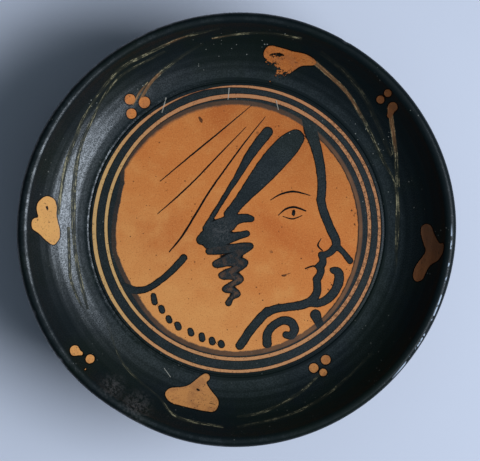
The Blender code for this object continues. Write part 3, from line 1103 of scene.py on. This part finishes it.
def make_painted_side(colours):
    """The dish's upper side with the head, rings, ivy and scratches."""
    material, w, shader, here = new_material("painted_dish", SLIP_GLOSS)
    place, _, radius = w.from_axis(here)
    black = w.group("black_slip", Position=here)
    clay = w.group("reserved_clay", Position=here)
    field_distance = w.attribute("field_edge")
    ring_distance = w.attribute("ring_edge")
    head_distance = w.attribute("head_edge")
    curl_distance = w.attribute("curl_edge")
    # Painted highlight above 0 and painted shade below 0, for leaves, berries and rings
    painted_light_shade = w.attribute("ivy_light_shade")

    def drawn(name, reach, softness):
        """Mask and hairs of the lines stored under the name. Millimetres."""
        return w.group(
            "drawn_line", Line=w.attribute(name, "Vector"), Position=here,
            Reach=reach * MM, Softness=softness * MM,
        )

    def just_outside(distance, reach):
        """Mask of the narrow strip just outside a painted edge. Millimetres."""
        return w.strip(distance, 0, reach, 0.10, 0.5 * reach)

    # Masks of all that is painted or left bare
    field = w.painted(here, field_distance, 0.8 * MM, w.times(w.attribute("field_softness"), 1.4))
    ring = w.painted(here, ring_distance, 0.18 * MM, 0.16 * MM)
    head = w.painted(here, head_distance, 0.42 * MM, 0.18 * MM)
    curl = w.painted(here, curl_distance, 0.45 * MM, 0.26 * MM)
    nicks = w.painted(here, w.attribute("clay_nicks"), 0.6 * MM, 0.16 * MM)
    worn = w.patches(here, (900.0, 4.0, 0.75), 0.40, 0.60, -0.3 * MM, 3.6 * MM)
    leaf_distance = w.plus(w.attribute("leaf_edge"), w.times(w.attribute("leaf_wear"), worn))
    leaf = w.painted(here, leaf_distance, 0.3 * MM, 0.16 * MM)
    ivy = w.most(ring, leaf)
    fine_lines = w.most(drawn("lines_one", 0.6, 0.10)["Mask"], drawn("lines_two", 0.6, 0.10)["Mask"])
    strokes = w.most(head, curl, fine_lines)
    bare = w.most(ivy, w.times(field, w.rest(strokes)))
    scratch = drawn("scratches", 0.6, 0.14)["Mask"]

    # Slip laid on thin: at the round's border, in the curl and along the strokes
    thin_border = w.times(
        w.fade(field_distance, 1.9, 1.3), w.attribute("slip_thinness"),
        w.patches(here, (190.0, 4.0, 0.6), 0.3, 0.65, 0.70, 1.0), w.rest(strokes),
    )
    thin_curl = w.times(
        curl, w.patches(here, (420.0, 4.0, 0.7), 0.46, 0.58, 0.03, 0.46),
        w.fade(place["Y"], -6, -20, 0.25, 1.0), w.fade(curl_distance, -0.3, -0.9),
    )
    fringe = w.times(head, w.fade(head_distance, -0.2, 0.1, 0.0, 0.25))
    thin = w.most(thin_border, thin_curl, fringe)
    slip_colour = w.blend(thin, black["Color"], tuple(colours.thin_slip))
    # Painted sheen: paler grey patches on the black by the lower-left lip and on the hair knot
    painted_sheen = w.times(w.attribute("rubbed_patch"), w.patches(here, (900.0, 4.0, 0.8), 0.44, 0.58))
    slip_colour = w.blend(w.times(painted_sheen, 1.2, clamp=True), slip_colour, SLIP_PAINTED_SHEEN)

    # Stems: a dull ground with paler hairs, redder beside the leaves
    stems = hairs = 0.0
    for name in ("stems_one", "stems_two"):
        stem = drawn(name, 1.4, 0.5)
        strength = w.times(stem["Mask"], w.attribute(name + "_strength"))
        stems = w.most(stems, strength)
        hairs = w.most(hairs, w.times(strength, w.spread(stem["Hairs"], 0.50, 0.60)))
    beside_leaf = w.spread(stems, 0.60, 0.78)
    hairs = w.times(
        w.times(hairs, 1.7, clamp=True), w.patches(here, (420.0, 5.0, 0.8), 0.42, 0.56, 0.05, 1.0),
        w.spread(stems, 0.15, 0.42, 0.12, 1.0),
    )

    # Deep black where a second coat outlines leaves, berries, rings and strokes
    ivy_outline = w.most(
        just_outside(leaf_distance, 0.50), w.times(just_outside(ring_distance, 0.34), 0.8)
    )
    stroke_rim = w.strip(w.math("MINIMUM", head_distance, curl_distance), -0.45, 0.4, 0.225, 0.2)
    outlined = w.most(
        w.times(ivy_outline, w.rest(stems)), w.times(w.most(stroke_rim, fine_lines), field),
        w.times(just_outside(field_distance, 0.55), w.fade(place["X"], 22, 34, 0.0, 0.8)),
    )
    slip_colour = w.tinted(
        slip_colour,
        (stems, 0.75, w.blend(beside_leaf, STEM_GROUND, STEM_GROUND_RED)),
        (hairs, 1.0, w.blend(beside_leaf, tuple(colours.added), STEM_HAIR_RED)),
        (outlined, 1.0, SECOND_COAT),
    )

    # Leaves and rings: a painted highlight makes them paler at the left, painted shade darkens leaves and
    # berries at the right, and the rings are pitted low at the right
    mottled = w.times(
        leaf, w.patches(here, (230.0, 5.0, 0.75), 0.47, 0.62), w.spread(painted_light_shade, 0.1, 0.6, 0.42, 0.12)
    )
    gaps = w.times(
        ring, w.patches(here, (820.0, 5.0, 0.9), 0.50, 0.56), w.spread(painted_light_shade, -0.15, -0.6)
    )
    clay_colour = w.tinted(
        clay["Color"],
        (w.spread(painted_light_shade, 0.0, 1.0), ivy, IVY_PAINTED_HIGHLIGHT),
        (mottled, 1.0, LEAF_MOTTLE),
        (w.spread(painted_light_shade, 0.0, -1.0, smooth=False), leaf, LEAF_PAINTED_SHADE),
        (ring, 0.60, w.blend(w.spread(painted_light_shade, 0.0, 0.5), RING, RING_PAINTED_HIGHLIGHT)),
        (w.times(w.patches(here, (1300.0, 3.0, 0.75), 0.60, 0.66), ivy), 0.7, IVY_FLECK),
        (nicks, 0.85, CLAY_NICK),
        (gaps, 0.75, RING_GAP),
    )

    # Scratches, and a painted highlight: bright glint dashes along the lip at the right, on the side of the
    # key light
    painted_lip_glint = w.times(
        w.strip(radius, 72.90, 73.50, 0.15, 0.15), w.strip(place["Y"], -52, 3, 6, 5),
        w.math("GREATER_THAN", place["X"], 0.0), w.patches(here, (190.0, 3.0, 0.7), 0.48, 0.52),
    )
    colour = w.tinted(
        w.blend(bare, slip_colour, clay_colour), (scratch, 0.7, SCRATCH), (painted_lip_glint, 0.9, LIP_PAINTED_GLINT)
    )

    # The coat: dulled on the wall, on the lip and in the groove, and gone where clay or wear shows
    wall_dulled = w.times(w.fade(radius, 60, 66), w.fade(place["X"], -50, 50, 0.35, 0.92))
    lip_shine = w.times(
        w.patches(here, (170.0, 5.0, 0.75), 0.47, 0.55, 0.35, 1.0),
        w.fade(place["X"], -10, 45, 0.80, 0.16),
    )
    groove_dulled = w.times(w.strip(radius, 49.6, 52.6, 0.4, 0.5), w.most(
        w.patches(here, (700.0, 2.0, 0.6), 0.46, 0.54, 0.0, 0.75),
        w.fade(place["X"], -30, 5, 0.0, 0.93),
    ))
    dulled = w.value(w.fade(radius, 70.8, 71.6), wall_dulled, w.rest(lip_shine))
    covered = w.most(bare, outlined, w.times(w.spread(stems, 0.08, 0.40), 0.93), w.times(thin, 0.85))
    wire_surface(
        w, shader, colour,
        w.value(bare, w.plus(black["Roughness"], w.times(stems, 0.30)), clay["Roughness"]),
        w.value(bare, w.plus(black["Height"], SLIP_THICKNESS), clay["Height"]),
        w.times(black["Shine"], w.rest(w.most(dulled, groove_dulled)), w.rest(covered)),
    )
    return material


def make_outer_side(colours):
    """Lip, outer wall, stem and foot: black slip, with the standing ring and hollow left bare."""
    material, w, shader, here = new_material("slipped_outside", SLIP_GLOSS)
    place, _, radius = w.from_axis(here)
    black = w.group("black_slip", Position=here)
    clay = w.group("reserved_clay", Position=here)
    bare = w.painted(here, w.attribute("unslipped_edge"), 0.6 * MM, 0.3 * MM)
    crest = w.spread(place["Z"], HEIGHT - WEAR_REACH, HEIGHT)
    foot_edge = w.times(
        w.spread(radius, FOOT_RADIUS - WEAR_REACH, FOOT_RADIUS), w.fade(place["Z"], 8.5, 6.0)
    )
    nearness = w.most(crest, foot_edge)
    wear = w.group("worn_edge", Position=here, Nearness=nearness, Amount=0.42)["Mask"]
    shown = w.most(bare, w.times(wear, 0.8))
    thin = w.patches(here, (70.0, 4.0, 0.6), 0.56, 0.74)
    slip_colour = w.tinted(black["Color"], (thin, 0.35, tuple(colours.thin_slip)))
    wire_surface(
        w, shader, w.blend(shown, slip_colour, clay["Color"]),
        w.value(shown, black["Roughness"], clay["Roughness"]),
        w.value(shown, black["Height"], clay["Height"]),
        w.times(black["Shine"], w.rest(shown)),
    )
    return material


class PLATE_OT_finishes(bpy.types.Operator):
    """Makes the shared finishes of slip, clay, brush edge and wear"""

    bl_idname = "plate.make_finishes"
    bl_label = "Make Finishes"

    def execute(self, context):
        colours = context.scene.plate_colours
        make_brushed_edge()
        make_drawn_line()
        make_turning_marks()
        make_fine_pits()
        make_worn_edge()
        make_black_slip(colours)
        make_reserved_clay(colours)
        return {"FINISHED"}


class PLATE_OT_painted_plate(bpy.types.Operator):
    """Turns the plate, gives it the potter's hand and paints it"""

    bl_idname = "plate.make_painted_plate"
    bl_label = "Make Painted Plate"

    def execute(self, context):
        shape = context.scene.plate_shape
        colours = context.scene.plate_colours
        piece = draw_profile("painted_plate", plate_profile(shape))
        turn_profile(piece)
        if sum(len(face.vertices) - 2 for face in piece.data.polygons) > MOST_TRIANGLES:
            raise RuntimeError("the plate has too many triangles")
        paint_values(piece)
        assign_sides(piece)
        add_hand_of_potter(piece, shape)
        piece.data.materials.append(make_painted_side(colours))
        piece.data.materials.append(make_outer_side(colours))
        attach(piece, "root")
        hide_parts("plate")
        return {"FINISHED"}


def add_soft_light(name, power, azimuth, elevation, distance, width, depth, colour):
    """A soft box that looks at the plate from the direction given."""
    deselect_all()
    level, up = heading(math.radians(azimuth)), heading(math.radians(elevation))
    direction = Vector((up.x * level.x, up.x * level.y, up.y))
    bpy.ops.object.light_add(type="AREA", location=direction * distance)
    light = bpy.context.object
    light.name = name
    light.data.shape = "RECTANGLE"
    light.data.size = width
    light.data.size_y = depth
    light.data.energy = power
    light.data.color = colour
    light.rotation_euler = (-direction).to_track_quat("-Z", "Y").to_euler()


class PLATE_OT_stage(bpy.types.Operator):
    """Adds the plain floor, the soft lights and the camera"""

    bl_idname = "plate.make_stage"
    bl_label = "Make Stage"

    def execute(self, context):
        scene = context.scene
        settings = scene.plate_stage
        deselect_all()
        bpy.ops.mesh.primitive_plane_add(size=FLOOR_SIZE)
        floor = bpy.context.object
        floor.name = "floor"
        material, w, shader, here = new_material("pale_floor", FLOOR_GLOSS)
        pale = tuple(settings.floor_colour)
        darker = tuple(0.95 * part for part in pale)
        w.feed(shader.inputs["Base Color"], w.blend(w.patches(here, (5.0, 2.0), 0.3, 0.7), pale, darker))
        floor.data.materials.append(material)

        add_soft_light("key_light", settings.key_power, *KEY_LIGHT)
        add_soft_light("ceiling_light", settings.ceiling_power, *CEILING_LIGHT)

        world = bpy.data.worlds.new("studio")
        world.use_nodes = True
        sky = world.node_tree.nodes["Background"].inputs
        sky["Color"].default_value = SKY_COLOUR
        sky["Strength"].default_value = SKY_STRENGTH
        scene.world = world
        scene.view_settings.view_transform = "Standard"

        bpy.ops.object.camera_add()
        camera = bpy.context.object
        camera.name = "photo_camera"
        camera.data.sensor_width = SENSOR_WIDTH
        camera.data.clip_start = 0.05
        camera.data.clip_end = 20.0
        tilt, distance = settings.camera_tilt, settings.camera_distance
        rim_share = RIM_IN_PHOTO / PHOTO_WIDTH
        camera.data.lens = SENSOR_WIDTH * distance * rim_share / (2 * RIM_RADIUS)
        camera.location = Vector((*AIM, HEIGHT)) + distance * Vector((0.0, math.sin(tilt), math.cos(tilt)))
        camera.rotation_euler = (-tilt, 0.0, 0.0)
        scene.camera = camera
        return {"FINISHED"}


class PLATE_PT_panel(bpy.types.Panel):
    """Lists the plate's sizes, colours and steps"""

    bl_idname = "PLATE_PT_panel"
    bl_label = "Painted Plate"
    bl_space_type = "VIEW_3D"
    bl_region_type = "UI"
    bl_category = "Plate"

    def draw(self, context):
        layout = self.layout
        for group in (context.scene.plate_shape, context.scene.plate_colours, context.scene.plate_stage):
            for name in group.bl_rna.properties.keys():
                if name not in ("rna_type", "name"):
                    layout.prop(group, name)
        for step in STEPS:
            layout.operator(step.bl_idname)


STEPS = (PLATE_OT_finishes, PLATE_OT_painted_plate, PLATE_OT_stage)
CLASSES = (PlateShape, PlateColours, StageSettings, *STEPS, PLATE_PT_panel)


def register():
    for item in CLASSES:
        bpy.utils.register_class(item)
    bpy.types.Scene.plate_shape = bpy.props.PointerProperty(type=PlateShape)
    bpy.types.Scene.plate_colours = bpy.props.PointerProperty(type=PlateColours)
    bpy.types.Scene.plate_stage = bpy.props.PointerProperty(type=StageSettings)


def unregister():
    del bpy.types.Scene.plate_stage
    del bpy.types.Scene.plate_colours
    del bpy.types.Scene.plate_shape
    for item in reversed(CLASSES):
        bpy.utils.unregister_class(item)


def main():
    register()
    bpy.ops.plate.make_finishes()
    bpy.ops.plate.make_painted_plate()
    bpy.ops.plate.make_stage()


if __name__ == "__main__":
    main()
